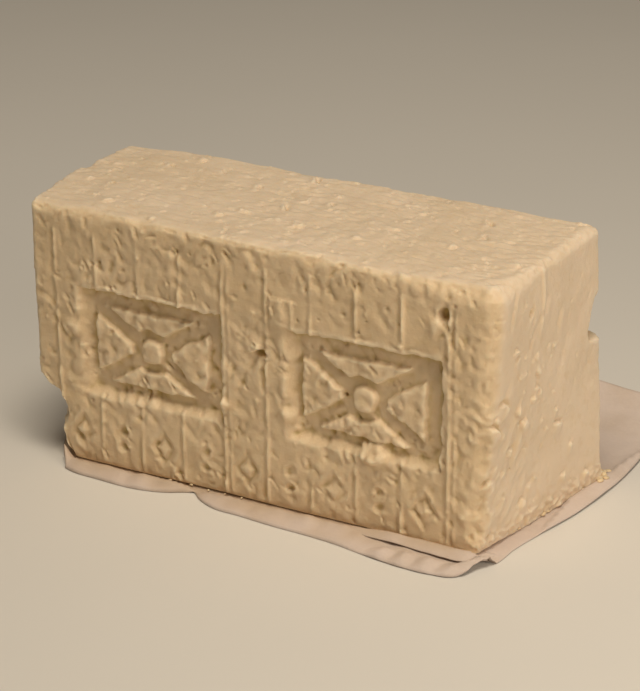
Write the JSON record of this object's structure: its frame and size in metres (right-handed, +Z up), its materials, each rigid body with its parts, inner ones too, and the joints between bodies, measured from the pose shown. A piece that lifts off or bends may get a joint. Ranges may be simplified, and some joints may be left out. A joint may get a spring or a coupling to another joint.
{
  "type": "feta block",
  "caption": "Block of feta cheese standing on its narrow side, with ribs and stamped panels on its mould face, on the paper it was wrapped in.",
  "frame": {"origin": "on the underside of the paper, below the middle of the block", "axes": "+X runs along the stamped face towards the cut right end, +Y from the stamped face to the back, +Z up"},
  "size_m": [0.2448, 0.1886, 0.1161],
  "materials": {
    "cheese": "moist, dense white cheese with a soft sheen, a faint yellow in its cracks and a knife-smeared top",
    "paper": "damp white butcher's paper, matt, softly creased"
  },
  "bodies": {
    "root": {"cheese_block": "cheese", "wrapping_paper": "paper"}
  },
  "joints": []
}
